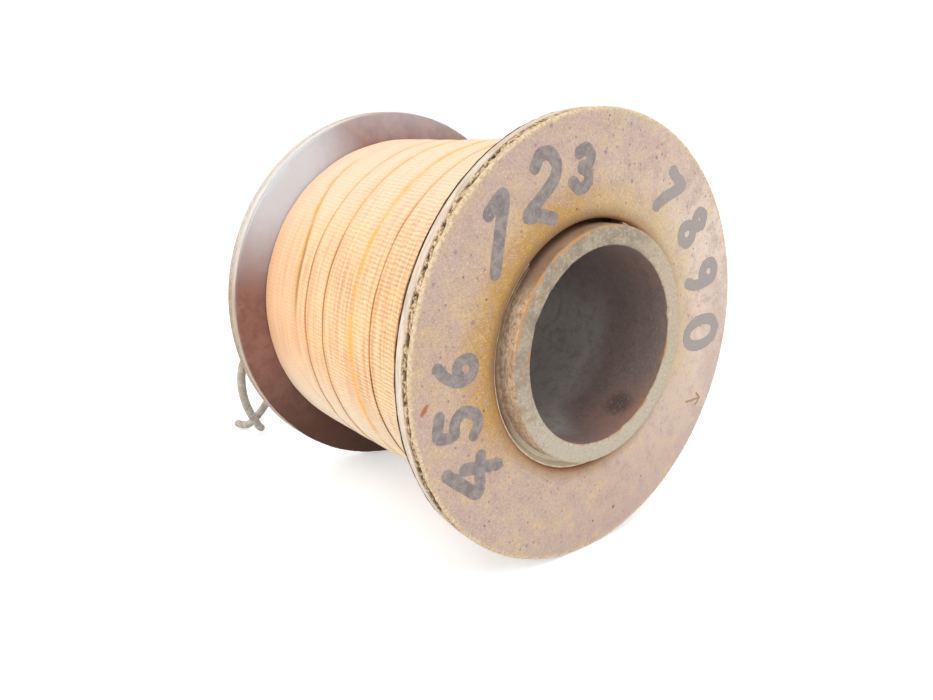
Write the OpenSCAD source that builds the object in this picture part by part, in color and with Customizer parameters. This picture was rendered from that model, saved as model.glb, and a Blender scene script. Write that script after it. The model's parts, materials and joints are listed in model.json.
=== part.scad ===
// Taped coil on a steel-flanged bobbin.
// A thick-walled core tube carries two steel flanges, each locked by a split ring.
// Enamelled wire fills the space between the fibre washers, under paper and cotton tape.
// The bobbin lies on its flanges: its axis runs along Y and its marked face looks to -Y.

/* [Core tube] */
// Outside diameter of the core tube
tube_d = 38.1; // [34:0.1:42]
// Wall of the core tube
tube_wall = 3.175; // [2:0.025:5]
// How far the tube stands past each flange
tube_stand = 1.9; // [1:0.1:4]
// Chamfer on the rims of the tube's ends
tube_edge = 0.4; // [0.2:0.1:0.8]

/* [Flanges] */
// Diameter of the flanges
flange_d = 72; // [69:0.5:84]
// Thickness of a flange
flange_t = 3.2; // [2.6:0.1:5]
// Length over the outside faces of the two flanges
flange_span = 59.2; // [50:0.1:80]
// Rounding of a flange's outer rim on its outside face
flange_edge_r = 0.4; // [0.2:0.1:1]
// Rounding of a flange's hole on its outside face
mouth_r = 0.6; // [0.4:0.1:1.2]
// Room between the tube and a flange's hole, on average
hole_room = 1.1; // [1:0.05:1.4]
// How far a flange's hole sits to the left of the tube's axis
hole_left = 0.75; // [0.3:0.05:0.75]
// How far a flange's hole sits below the tube's axis
hole_down = 0.3; // [0:0.05:0.3]

/* [Split rings] */
// Depth of a split ring's outer edge below the flange's face
ring_sink = 0.6; // [0.3:0.1:1]
// Depth of the dish in a split ring's end
ring_dish = 0.7; // [0.3:0.1:1.2]
// Width of the bright lip round the dish
ring_lip = 0.22; // [0.15:0.01:0.3]
// Angle at which the ring's gap starts, seen from the front
gap_from = 73; // [60:1:90]
// Angle at which the ring's gap ends, seen from the front
gap_to = 135; // [110:1:160]

/* [Fibre washers] */
// Thickness of a fibre washer
washer_t = 0.5; // [0.4:0.05:1]
// How far a washer's rim lies inside the flange's rim
washer_inset = 0.1; // [0:0.1:2]

/* [Winding] */
// Thickness of the paper sleeve on the core tube
core_paper_t = 0.5; // [0.3:0.05:1]
// Depth of the inner layers of wire
inner_build = 4.2; // [3.6:0.1:5]
// Thickness of the paper between the layers of wire
layer_paper_t = 0.2; // [0.15:0.05:0.4]
// Depth of the outer layers of wire
outer_build = 4.2; // [3.6:0.1:5]
// Thickness of the paper wrap over the wire
wrap_paper_t = 0.2; // [0.15:0.05:0.4]
// Thickness of the tape that lies under the top turns
underlap_t = 0.35; // [0.25:0.05:0.6]

/* [Cotton tape] */
// Number of turns of tape, with the tapered turn at each end
tape_turns = 8; // [6:0.5:11]
// Thickness of the tape's top turns
tape_t = 0.9; // [0.6:0.05:1.2]
// Gap between neighbouring turns of tape
tape_seam = 0.45; // [0.42:0.01:0.8]
// Gap between the end turns of tape and the washers
tape_end_gap = 0.3; // [0.2:0.05:0.8]
// Bevel on the tape's edges
tape_bevel = 0.3; // [0.1:0.05:0.4]
// Width of the tape's tapered ends
tape_tip_w = 1; // [0.9:0.1:2]
// Angle at which the tape starts, seen from the front
tape_start = 195; // [0:5:360]

/* [Leads] */
// Diameter of a lead over its insulation
lead_d = 1.8; // [1.4:0.1:2]
// Angle of the start lead's hole, seen from the front
start_angle = 200; // [190:1:204]
// Angle of the finish lead's hole, seen from the front
finish_angle = 225; // [221:1:240]
// Diameter of a lead bushing where it passes the flange
bushing_d = 4.4; // [4:0.1:5]
// Diameter of a lead bushing's head
bushing_head_d = 6; // [5.4:0.1:7]
// Thickness of a lead bushing's head
bushing_head_t = 1.2; // [0.8:0.1:1.8]
// Diameter of the sleeve that leads a splice out through its bushing
sleeve_d = 2.2; // [2.1:0.05:2.6]
// Diameter of a splice inside the winding
splice_d = 3; // [2.8:0.1:3.2]
// Length of a splice inside the winding
splice_len = 9; // [6:0.5:14]
// Diameter of the coil wire's bare ends
wire_d = 0.8; // [0.5:0.1:1]

/* [Hidden] */
$fn = 80;
// Sides of a full circle on the lead bores, splices and bushings
small_fn = 48;
// Sides of a full circle in the small roundings and the bare wires
arc_fn = 24;

// Room left between neighbouring pieces
fit = 0.05;
// Room round a piece that passes a hole loosely
hole_fit = 0.1;
// How far a cutter reaches past the face that it cuts
over = 1;

// Radii, from the tube outwards
tube_r = tube_d / 2;
bore_r = tube_r - tube_wall;
hole_r = tube_r + hole_room;
core_paper_r = tube_r + fit + core_paper_t;
inner_wire_r = core_paper_r + fit + inner_build;
layer_paper_r = inner_wire_r + fit + layer_paper_t;
outer_wire_r = layer_paper_r + fit + outer_build;
wrap_paper_r = outer_wire_r + fit + wrap_paper_t;
underlap_r = wrap_paper_r + fit + underlap_t;

// Lengths along the spool's own axis, from its middle
face_z = flange_span / 2;
inner_face_z = face_z - flange_t;
washer_z = inner_face_z - fit - washer_t;
wire_z = washer_z - fit;
tube_len = flange_span + 2 * tube_stand;

// The tape is a flat strip with bevelled edges, swept round in one piece. Its first and last turns
// run along the washers and taper to a narrow tip, so that it covers the coil from end to end.
tape_rings = 24;
tape_in_r = (underlap_r + fit) / cos(180 / tape_rings);
tape_mid_r = tape_in_r + tape_t / 2;
tape_run = 2 * (wire_z - tape_end_gap);
tape_pitch = (tape_run - tape_seam - 2 * tape_tip_w) / (tape_turns - 1);
tape_w = tape_pitch - tape_seam;
tape_steps = round(tape_turns * tape_rings);

// Places of the leads, in the middle of the outer layers of wire
lead_ring_r = outer_wire_r - outer_build / 2;
lead_sides = 8;
groove_w = wire_d + 2 * hole_fit;
exit_y = face_z + fit + bushing_head_t;

// Each lead's route: a point where it leaves its bushing, then points chosen by hand
start_route = concat([lead_exit(start_angle)], [
    [-24.7, 33, -9], [-25.2, 35.2, -9.2], [-26.6, 37, -9.8], [-28.6, 38, -11.2],
    [-30.2, 38.4, -13.4], [-30.8, 38.8, -16], [-30.6, 39.6, -18.6], [-29.9, 41, -21],
    [-28.9, 42.8, -23.2], [-27.7, 44.8, -25.4], [-26.4, 46.6, -27.6], [-25, 48.4, -29.8],
    [-23.6, 50.2, -31.8], [-22.2, 52.2, -33.6], [-21, 54, -34.8]
]);
finish_route = concat([lead_exit(finish_angle)], [
    [-18.6, 33.2, -18.6], [-18.8, 35.6, -18.8], [-19.2, 38, -19.4], [-19.8, 40.4, -20.4],
    [-20.6, 42.8, -21.8], [-21.2, 45, -23.6], [-21.6, 47, -25.6], [-21.8, 49, -27.6],
    [-22, 50.8, -29.4], [-22.4, 52.6, -31.2], [-22.8, 54.4, -32.8], [-23.2, 56.4, -34.2],
    [-23.6, 58.6, -34.8], [-24, 60.4, -34.9]
]);

function lead_exit(angle) =
    [lead_ring_r * cos(angle), exit_y, lead_ring_r * sin(angle)];

// ---- Small helpers ----

// Lays the spool's own axis along Y. In a child, X is right, Y is up and Z is out of the front face.
module lay() {
    rotate([90, 0, 0]) children();
}

// The rear end is the front end turned over.
module at_rear() {
    mirror([0, 0, 1]) children();
}

module plain_ring(inner_r, outer_r, from_z, to_z) {
    translate([0, 0, from_z]) difference() {
        cylinder(r = outer_r, h = to_z - from_z);
        translate([0, 0, -over]) cylinder(r = inner_r, h = to_z - from_z + 2 * over);
    }
}

// A layer of the coil, as long as the space between the washers
module coil_layer(inner_r, outer_r) {
    plain_ring(inner_r, outer_r, -wire_z, wire_z);
}

module at_lead(angle) {
    rotate([0, 0, angle]) translate([lead_ring_r, 0, 0]) children();
}

// A hole for a lead through the rear end, from one depth out to another
module lead_bores(bore_d, from_z, to_z) {
    for (angle = [start_angle, finish_angle])
        at_rear() at_lead(angle) translate([0, 0, from_z])
            cylinder(d = bore_d, h = to_z - from_z, $fn = small_fn);
}

module on_hole_axis() {
    translate([-hole_left, -hole_down, 0]) children();
}

// ---- Core tube ----

module core_tube() {
    color([0.60, 0.57, 0.50]) lay() rotate_extrude() polygon([
        [bore_r + tube_edge, -tube_len / 2], [tube_r - tube_edge, -tube_len / 2],
        [tube_r, -tube_len / 2 + tube_edge], [tube_r, tube_len / 2 - tube_edge],
        [tube_r - tube_edge, tube_len / 2], [bore_r + tube_edge, tube_len / 2],
        [bore_r, tube_len / 2 - tube_edge], [bore_r, -tube_len / 2 + tube_edge]
    ]);
}

// ---- Flanges ----

// Outline of half a flange, with its outer rim rounded on the outside face
module flange_outline() {
    rim_r = flange_d / 2;
    square([rim_r - flange_edge_r, flange_t]);
    square([rim_r, flange_t - flange_edge_r]);
    translate([rim_r - flange_edge_r, flange_t - flange_edge_r])
        circle(flange_edge_r, $fn = arc_fn);
}

// The metal that rounding the hole's mouth takes away
module mouth_cut() {
    rotate_extrude() difference() {
        translate([hole_r - over, flange_t - mouth_r]) square([mouth_r + over, mouth_r + over]);
        translate([hole_r + mouth_r, flange_t - mouth_r]) circle(mouth_r, $fn = arc_fn);
    }
}

// A flange lies on Z = 0 and its outside face looks up.
module flange() {
    difference() {
        rotate_extrude() flange_outline();
        on_hole_axis() translate([0, 0, -over]) cylinder(r = hole_r, h = flange_t + 2 * over);
        on_hole_axis() mouth_cut();
    }
}

module front_flange() {
    color([0.76, 0.66, 0.52]) lay() translate([0, 0, inner_face_z]) flange();
}

module rear_flange() {
    color([0.74, 0.65, 0.53]) lay() difference() {
        at_rear() translate([0, 0, inner_face_z]) flange();
        lead_bores(bushing_d + 2 * fit, inner_face_z - over, face_z + over);
    }
}

// ---- Split rings ----

// The gap in a split ring, as a wedge from the tube's axis
module ring_gap(height) {
    reach = 3 * hole_r;
    linear_extrude(height) polygon([
        [0, 0],
        [reach * cos(gap_from), reach * sin(gap_from)],
        [reach * cos(gap_to), reach * sin(gap_to)]
    ]);
}

// The dish that leaves a thin lip round a split ring's outer edge
module ring_dish_cut() {
    lip_r = hole_r - fit - ring_lip;
    translate([0, 0, -ring_dish])
        cylinder(r1 = lip_r - ring_dish, r2 = lip_r, h = ring_dish);
    cylinder(r = lip_r, h = over);
}

// A split ring fills the room between a flange's hole and the tube, but for its gap.
module split_ring() {
    height = flange_t - ring_sink;
    difference() {
        on_hole_axis() cylinder(r = hole_r - fit, h = height);
        translate([0, 0, -over]) cylinder(r = tube_r + fit, h = height + 2 * over);
        on_hole_axis() translate([0, 0, height]) ring_dish_cut();
        translate([0, 0, -over]) ring_gap(height + 2 * over);
    }
}

module front_split_ring() {
    color([0.50, 0.49, 0.42]) lay() translate([0, 0, inner_face_z]) split_ring();
}

module rear_split_ring() {
    color([0.50, 0.49, 0.42]) lay() at_rear() translate([0, 0, inner_face_z]) split_ring();
}

// ---- Fibre washers ----

module fibre_washer() {
    plain_ring(tube_r + hole_fit, flange_d / 2 - washer_inset, washer_z, washer_z + washer_t);
}

module front_fibre_washer() {
    color([0.22, 0.15, 0.12]) lay() fibre_washer();
}

module rear_fibre_washer() {
    color([0.48, 0.33, 0.30]) lay() difference() {
        at_rear() fibre_washer();
        lead_bores(sleeve_d + 2 * hole_fit, washer_z - over, inner_face_z + over);
    }
}

// ---- Winding ----

module core_paper() {
    color([0.62, 0.55, 0.40]) lay() coil_layer(tube_r + fit, core_paper_r);
}

// A groove in the coil's rear end, in which a bare end of the coil wire lies
module wire_groove(angle, from_r, to_r) {
    rotate([0, 0, angle]) translate([from_r, -groove_w / 2, -wire_z - over])
        cube([to_r - from_r, groove_w, groove_w + over]);
}

module inner_wire_layers() {
    color([0.62, 0.30, 0.14]) lay() difference() {
        coil_layer(core_paper_r + fit, inner_wire_r);
        wire_groove(start_angle, start_wire_foot, inner_wire_r + over);
    }
}

module layer_paper() {
    color([0.70, 0.60, 0.42]) lay() difference() {
        coil_layer(inner_wire_r + fit, layer_paper_r);
        wire_groove(start_angle, inner_wire_r - over, layer_paper_r + over);
    }
}

module outer_wire_layers() {
    color([0.62, 0.30, 0.14]) lay() difference() {
        coil_layer(layer_paper_r + fit, outer_wire_r);
        lead_bores(splice_d + 2 * hole_fit, wire_z - splice_len - fit, wire_z + over);
        wire_groove(start_angle, layer_paper_r - over, lead_ring_r);
        wire_groove(finish_angle, lead_ring_r, outer_wire_r + over);
    }
}

module wrap_paper() {
    color([0.66, 0.54, 0.34]) lay() coil_layer(outer_wire_r + fit, wrap_paper_r);
}

// ---- Bare ends of the coil wire and their splices ----

// Where the start wire comes out of the middle of the inner layers
start_wire_foot = inner_wire_r - inner_build / 2;

// A bare wire that lies in its groove, from one radius out to another
module coil_wire_end(angle, from_r, to_r) {
    color([0.78, 0.45, 0.22]) lay() rotate([0, 0, angle])
        translate([from_r, 0, -wire_z + groove_w - hole_fit - wire_d / 2])
            rotate([0, 90, 0]) cylinder(d = wire_d, h = to_r - from_r, $fn = arc_fn);
}

module start_wire() {
    coil_wire_end(start_angle, start_wire_foot + fit, lead_ring_r - splice_d / 2 - fit);
}

module finish_wire() {
    coil_wire_end(finish_angle, lead_ring_r + splice_d / 2 + fit, outer_wire_r - fit);
}

// A splice lies in a pocket of the coil, and its sleeve runs out to the bushing's face.
module splice(angle) {
    color([0.72, 0.62, 0.36]) lay() at_rear() at_lead(angle) {
        translate([0, 0, wire_z - splice_len]) cylinder(d = splice_d, h = splice_len, $fn = small_fn);
        translate([0, 0, wire_z - fit]) cylinder(d = sleeve_d, h = exit_y - wire_z + fit, $fn = small_fn);
    }
}

module start_splice() {
    splice(start_angle);
}

module finish_splice() {
    splice(finish_angle);
}

// ---- Lead bushings ----

module bushing(angle) {
    color([0.24, 0.18, 0.15]) lay() at_rear() at_lead(angle) difference() {
        union() {
            translate([0, 0, inner_face_z])
                cylinder(d = bushing_d, h = exit_y - inner_face_z, $fn = small_fn);
            translate([0, 0, face_z + fit])
                cylinder(d = bushing_head_d, h = bushing_head_t, $fn = small_fn);
        }
        translate([0, 0, inner_face_z - over])
            cylinder(d = sleeve_d + 2 * fit, h = exit_y - inner_face_z + 2 * over, $fn = small_fn);
    }
}

module start_bushing() {
    bushing(start_angle);
}

module finish_bushing() {
    bushing(finish_angle);
}

// ---- Cotton tape ----

module tape_underlap() {
    color([0.88, 0.70, 0.48]) lay() coil_layer(wrap_paper_r + fit, underlap_r);
}

// Cross-section of the tape between two edges, as [radial, axial] places
function tape_section(front, back) = [
    [-tape_t / 2, front + tape_bevel], [0, front], [tape_t / 2, front + tape_bevel],
    [tape_t / 2, back - tape_bevel], [0, back], [-tape_t / 2, back - tape_bevel]
];

// One ring of the tape. Both edges move back along the spool as it winds, but stop at the washers.
function tape_ring(i) =
    let (angle = tape_start + i * 360 / tape_rings)
    let (back = -tape_run / 2 + tape_tip_w + i * tape_pitch / tape_rings)
    let (front = back - tape_w)
    [for (p = tape_section(max(front, -tape_run / 2), min(back, tape_run / 2)))
        [(tape_mid_r + p[0]) * cos(angle), (tape_mid_r + p[0]) * sin(angle), -p[1]]];

tape_points = [for (i = [0 : tape_steps]) tape_ring(i)];

// Least gap between each ring of the tape and the ring one turn later
function turn_gap(i) = min([
    for (p = tape_points[i]) for (q = tape_points[i + tape_rings]) norm(p - q)
]);
echo("tape: least gap to itself, mm", min([for (i = [0 : tape_steps - tape_rings]) turn_gap(i)]));
echo("tape: width and pitch of a turn, mm", tape_w, tape_pitch);

// Skins a row of rings that all have the same number of points, in order, into one closed tube.
module skin(rings) {
    sides = len(rings[0]);
    last = len(rings) - 1;
    function at(i, j) = i * sides + j % sides;
    start_cap = [for (j = [1 : sides - 2]) [at(0, 0), at(0, j), at(0, j + 1)]];
    end_cap = [for (j = [1 : sides - 2]) [at(last, 0), at(last, j + 1), at(last, j)]];
    walls = [
        for (i = [0 : last - 1]) for (j = [0 : sides - 1])
            each [
                [at(i, j), at(i + 1, j), at(i + 1, j + 1)],
                [at(i, j), at(i + 1, j + 1), at(i, j + 1)]
            ]
    ];
    polyhedron([for (ring = rings) each ring], concat(start_cap, walls, end_cap));
}

module cotton_tape() {
    color([0.93, 0.76, 0.55]) lay() skin(tape_points);
}

// ---- Leads ----

function unit(v) = v / norm(v);

// Direction of a route at one of its points
function heading(route, i) =
    i == 0 ? [0, 1, 0]
    : unit(route[min(i + 1, len(route) - 1)] - route[i - 1]);

// Corners of the lead's ring at one point of its route
function lead_ring(route, i) =
    let (ahead = heading(route, i))
    let (side = unit(cross(ahead, [1, 0, 0])))
    let (rise = cross(side, ahead))
    [for (j = [0 : lead_sides - 1])
        let (turn = j * 360 / lead_sides)
        route[i] + lead_d / 2 * (cos(turn) * side + sin(turn) * rise)];

function route_length(route) =
    [for (i = [1 : len(route) - 1]) norm(route[i] - route[i - 1])]
    * [for (i = [1 : len(route) - 1]) 1];

module lead(route) {
    color([0.62, 0.58, 0.54]) skin([for (i = [0 : len(route) - 1]) lead_ring(route, i)]);
}

module start_lead() {
    lead(start_route);
}

module finish_lead() {
    lead(finish_route);
}

echo("leads: length of the start and the finish lead, mm",
     route_length(start_route), route_length(finish_route));

// ---- Which piece to draw ----

core_tube();
front_flange();
rear_flange();
front_split_ring();
rear_split_ring();
front_fibre_washer();
rear_fibre_washer();
core_paper();
inner_wire_layers();
layer_paper();
outer_wire_layers();
wrap_paper();
tape_underlap();
cotton_tape();
start_wire();
finish_wire();
start_splice();
finish_splice();
start_bushing();
finish_bushing();
start_lead();
finish_lead();
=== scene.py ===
"""Looks of a taped coil on a flanged steel bobbin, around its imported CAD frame.

Places are given in the spool's own terms, in millimetres: an angle seen from the marked front face,
counted from +X towards +Z, a radius from the tube's axis, and y along that axis from the front to the rear.
"""

import json
import math

import bmesh
import bpy
import numpy as np
from mathutils import Matrix, Vector, noise


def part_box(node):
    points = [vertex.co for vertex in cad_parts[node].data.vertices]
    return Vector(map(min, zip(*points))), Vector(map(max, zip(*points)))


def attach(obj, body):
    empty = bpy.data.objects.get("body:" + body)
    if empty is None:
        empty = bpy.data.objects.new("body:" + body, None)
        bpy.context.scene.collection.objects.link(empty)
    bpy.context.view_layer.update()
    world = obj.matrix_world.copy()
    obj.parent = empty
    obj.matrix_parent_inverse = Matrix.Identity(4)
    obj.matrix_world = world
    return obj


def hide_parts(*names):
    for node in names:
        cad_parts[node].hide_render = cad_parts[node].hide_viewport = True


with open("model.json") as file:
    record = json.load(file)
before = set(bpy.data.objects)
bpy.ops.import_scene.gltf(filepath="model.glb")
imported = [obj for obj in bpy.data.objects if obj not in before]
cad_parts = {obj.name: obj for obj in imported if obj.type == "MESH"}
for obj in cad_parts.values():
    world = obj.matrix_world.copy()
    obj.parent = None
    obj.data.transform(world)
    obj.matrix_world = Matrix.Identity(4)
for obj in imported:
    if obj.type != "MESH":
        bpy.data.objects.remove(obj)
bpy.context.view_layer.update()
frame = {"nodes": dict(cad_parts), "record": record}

MM = 0.001

# ------------ sizes

# Taken from the frame
FLANGE_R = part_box("front_flange")[1].x / MM
FRONT_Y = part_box("front_flange")[0].y / MM
FLANGE_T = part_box("front_flange")[1].y / MM - FRONT_Y
REAR_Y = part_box("rear_flange")[1].y / MM
TUBE_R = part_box("core_tube")[1].x / MM
TUBE_END_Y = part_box("core_tube")[1].y / MM
BORE_R = next(m for m in frame["record"]["mounts"] if m["name"] == "bore")["dims"]["r_mm"]
WASHER_T = (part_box("front_fibre_washer")[1].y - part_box("front_fibre_washer")[0].y) / MM
TAPE_END_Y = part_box("cotton_tape")[1].y / MM
UNDERLAP_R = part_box("tape_underlap")[1].x / MM

# How near a surface a place counts as lying on it
SKIN = 0.06

FIT = 0.05
HOLE_CENTRE = (-0.75, -0.3)
HOLE_R = TUBE_R + 1.1
MOUTH_R = 0.6
RIM_ROUND = 0.4
RING_SINK = 0.6
RING_DISH = 0.7
RING_LIP = 0.22
RING_GAP = (73, 135)
TAPE_TURNS = 8
TAPE_START = 195
TAPE_SEAM = 0.45
TAPE_TIP_W = 1.0
LEAD_D = 1.8
LEAD_RING_R = 26.25
LEAD_ANGLES = {"start": 200, "finish": 225}
BUSHING_D = 4.4
BUSHING_HEAD_D = 6.0
BUSHING_HEAD_T = 1.2
SLEEVE_D = 2.2
LEAD_ROUTES = {
    "start": [
        (-24.7, 33, -9), (-25.2, 35.2, -9.2), (-26.6, 37, -9.8), (-28.6, 38, -11.2),
        (-30.2, 38.4, -13.4), (-30.8, 38.8, -16), (-30.6, 39.6, -18.6), (-29.9, 41, -21),
        (-28.9, 42.8, -23.2), (-27.7, 44.8, -25.4), (-26.4, 46.6, -27.6), (-25, 48.4, -29.8),
        (-23.6, 50.2, -31.8), (-22.2, 52.2, -33.6), (-21, 54, -34.8),
    ],
    "finish": [
        (-18.6, 33.2, -18.6), (-18.8, 35.6, -18.8), (-19.2, 38, -19.4), (-19.8, 40.4, -20.4),
        (-20.6, 42.8, -21.8), (-21.2, 45, -23.6), (-21.6, 47, -25.6), (-21.8, 49, -27.6),
        (-22, 50.8, -29.4), (-22.4, 52.6, -31.2), (-22.8, 54.4, -32.8), (-23.2, 56.4, -34.2),
        (-23.6, 58.6, -34.8), (-24, 60.4, -34.9),
    ],
}


# ------------ small helpers

def srgb(red, green, blue):
    """A colour as a screen shows it, 0 to 255, as the linear colour that a shader takes."""
    def linear(part):
        part /= 255
        return part / 12.92 if part <= 0.04045 else ((part + 0.055) / 1.055) ** 2.4
    return (linear(red), linear(green), linear(blue), 1.0)


def smooth_step(low, high, value):
    """0 below low, 1 above high and a smooth rise between them, for numbers or arrays."""
    share = np.clip((value - low) / (high - low), 0, 1)
    return share * share * (3 - 2 * share)


def bell(distance, width):
    """1 at no distance, falling off smoothly to nothing over about the width."""
    return np.exp(-(distance / width) ** 2)


def noise_on(points, size, seed=0.0):
    """Smooth noise from -1 to 1 at each point, with lumps of the given size."""
    shift = Vector((seed * 17.3, seed * 7.1, seed * 3.7))
    flat = np.asarray(points, float).reshape(-1, 3) / size
    values = [noise.noise(Vector(p) + shift) for p in flat]
    return np.array(values).reshape(np.asarray(points).shape[:-1])


def to_circle(angles, centre, radius):
    """How far a circle lies from the tube's axis, in each direction."""
    across = centre[0] * np.cos(angles) + centre[1] * np.sin(angles)
    aside = centre[1] * np.cos(angles) - centre[0] * np.sin(angles)
    return across + np.sqrt(radius ** 2 - aside ** 2)


def full_turn(count):
    """Angles all the way round."""
    return np.linspace(0, 2 * math.pi, count, endpoint=False)


def around(angles, radius, along):
    """Points at these angles, radii and places along the axis, in millimetres."""
    return np.stack(np.broadcast_arrays(
        radius * np.cos(angles), along, radius * np.sin(angles)), -1)


def grid_faces(rows, columns, round_rows=True):
    """Quads between the points of a grid. Each row closes on itself, and the columns do if asked."""
    def at(i, j):
        return (i % rows) * columns + j % columns
    return [
        (at(i, j), at(i, j + 1), at(i + 1, j + 1), at(i + 1, j))
        for i in range(rows if round_rows else rows - 1) for j in range(columns)
    ]


def capped_faces(rows, columns):
    """The quads of a grid that is open at its first and last row, and a face over each of these."""
    return [*grid_faces(rows, columns, round_rows=False),
            tuple(range(columns)), tuple(range((rows - 1) * columns, rows * columns))]


def stretch(start, end, count, skip=1):
    """Places from one (radius, depth) to another, but for the first few that are skipped."""
    return [tuple(a + (b - a) * share for a, b in zip(start, end))
            for share in np.linspace(0, 1, count)[skip:]]


def add_piece(name, points, faces, material, nodes=(), facts=None, crease=35):
    """One closed mesh piece from points in millimetres. facts are numbers kept at each point."""
    mesh = bpy.data.meshes.new(name)
    mesh.from_pydata((np.asarray(points).reshape(-1, 3) * MM).tolist(), [], faces)
    for label, values in (facts or {}).items():
        attribute = mesh.attributes.new(label, "FLOAT", "POINT")
        attribute.data.foreach_set("value", np.asarray(values, np.float32).ravel())
    outward = bmesh.new()
    outward.from_mesh(mesh)
    bmesh.ops.recalc_face_normals(outward, faces=outward.faces)
    outward.to_mesh(mesh)
    outward.free()
    mesh.shade_smooth()
    mesh.set_sharp_from_angle(angle=math.radians(crease))
    mesh.materials.append(material)
    piece = bpy.data.objects.new(name, mesh)
    bpy.context.scene.collection.objects.link(piece)
    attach(piece, "root")
    if nodes:
        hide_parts(*nodes)
    return piece


def drill(piece, holes):
    """Cuts round holes along Y, each an (x, z, radius) in millimetres, and keeps the mesh closed."""
    for x, z, radius in holes:
        bpy.ops.mesh.primitive_cylinder_add(
            vertices=64, radius=radius * MM, depth=4 * FLANGE_T * MM,
            location=(x * MM, REAR_Y * MM, z * MM), rotation=(math.pi / 2, 0, 0))
        cutter = bpy.context.object
        cut = piece.modifiers.new("hole", "BOOLEAN")
        cut.operation = "DIFFERENCE"
        cut.solver = "EXACT"
        cut.object = cutter
        with bpy.context.temp_override(object=piece, active_object=piece, selected_objects=[piece]):
            bpy.ops.object.modifier_apply(modifier=cut.name)
        bpy.data.objects.remove(cutter)


# ------------ materials

class Value:
    """What a node gives, so that it can be added, subtracted and multiplied plainly."""

    def __init__(self, nodes, socket):
        self.nodes, self.socket = nodes, socket

    def __add__(self, other):
        return self.nodes.math("ADD", self, other)

    def __sub__(self, other):
        return self.nodes.math("SUBTRACT", self, other)

    def __rsub__(self, other):
        return self.nodes.math("SUBTRACT", other, self)

    def __mul__(self, other):
        return self.nodes.math("MULTIPLY", self, other)


class Nodes:
    """The nodes of a material or a sky."""

    def __init__(self, tree):
        self.tree = tree

    def fill(self, made, inputs):
        for socket, value in inputs.items():
            if isinstance(value, Value):
                self.tree.links.new(value.socket, made.inputs[socket])
            else:
                made.inputs[socket].default_value = value

    def node(self, kind, inputs, output=0, **settings):
        """Adds a node and gives one of its outputs."""
        made = self.tree.nodes.new("ShaderNode" + kind)
        for key, value in settings.items():
            setattr(made, key, value)
        self.fill(made, inputs)
        return Value(self, made.outputs[output])

    def math(self, operation, first, second=0.0):
        return self.node("Math", {0: first, 1: second}, operation=operation)

    def seen_directly(self):
        """1 for what the camera sees, straight or in a reflection or through glass, and 0 for light."""
        seen = self.node("LightPath", {}, "Is Camera Ray")
        path = seen.socket.node
        for kind in ("Is Glossy Ray", "Is Transmission Ray"):
            seen = self.math("MAXIMUM", seen, Value(self, path.outputs[kind]))
        return seen


class Finish(Nodes):
    """A procedural material, whose lengths are millimetres on the piece."""

    def __init__(self, name, specular, **sockets):
        self.material = bpy.data.materials.new(name)
        self.material.use_nodes = True
        super().__init__(self.material.node_tree)
        self.shader = self.tree.nodes["Principled BSDF"]
        sockets = {key.replace("_", " ").title(): value for key, value in sockets.items()}
        self.fill(self.shader, {"Specular IOR Level": specular, **sockets})
        place = self.node("TexCoord", {}, "Object")
        self.place = self.node("VectorMath", {0: place, "Scale": 1 / MM}, operation="SCALE")

    def vector(self, operation, first, second):
        return self.node("VectorMath", {0: first, 1: second}, operation=operation)

    def wave(self, value, pitch):
        """A sine that goes round once per pitch."""
        return self.math("SINE", value * (2 * math.pi / pitch))

    def fade(self, value, low, high):
        """0 where the value is at low or short of it, 1 at high, and a smooth way between."""
        return self.node("MapRange", {0: value, 1: low, 2: high},
                         interpolation_type="SMOOTHSTEP")

    def axis(self, letter):
        return self.node("SeparateXYZ", {0: self.place}, letter)

    def from_axis(self, centre=(0.0, 0.0)):
        """Distance from a line along Y."""
        flat = self.vector("MULTIPLY", self.place, (1, 0, 1))
        return self.from_point((centre[0], 0, centre[1]), flat)

    def from_point(self, point, place=None):
        return self.node("VectorMath", {0: place or self.place, 1: point}, "Value",
                         operation="DISTANCE")

    def stretched(self, x=1.0, y=1.0, z=1.0):
        """The place, stretched so that a pattern comes out that many times longer each way."""
        return self.vector("MULTIPLY", self.place, (1 / x, 1 / y, 1 / z))

    def fact(self, label):
        """A number kept at each point of the mesh."""
        return self.node("Attribute", {}, "Fac", attribute_name=label)

    def noise(self, size, detail=3.0, roughness=0.55, distortion=0.0, place=None):
        return self.node("TexNoise", {
            "Vector": place or self.place, "Scale": 1 / size, "Detail": detail,
            "Roughness": roughness, "Distortion": distortion})

    def spots(self, size, radius, share):
        """1 in round spots of about that radius, in that share of the cells of that size."""
        away = self.node("TexVoronoi", {"Vector": self.place, "Scale": 1 / size}, "Distance")
        shade = Value(self, away.socket.node.outputs["Color"])
        picked = self.math("LESS_THAN", self.node("SeparateColor", {0: shade}), share)
        return self.fade(away, radius / size, 0.5 * radius / size) * picked

    def mix(self, share, first, second):
        """A blend of two colours, each from other nodes or as a screen shows it."""
        first, second = (srgb(*part) if isinstance(part, tuple) else part for part in (first, second))
        return self.node("Mix", {0: share, 6: first, 7: second}, 2, data_type="RGBA")

    def over(self, colour, *layers):
        """The colour with others laid over it in turn.

        A layer is its share or a value and the span over which that fades in, then its strength and
        its colour.
        """
        for value, *span, strength, other in layers:
            share = self.fade(value, *span) if span else value
            colour = self.mix(share * strength, colour, other)
        return colour

    def done(self, colour, roughness, *relief):
        """Wires it all up and gives the material. relief is values and how high each stands at 1."""
        self.fill(self.shader, {"Base Color": colour, "Roughness": roughness})
        if relief:
            height = 0.0
            for value, depth in relief:
                height = value * depth + height
            bump = self.node("Bump", {"Height": height, "Distance": MM})
            self.fill(self.shader, {"Normal": bump})
        return self.material


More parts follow.
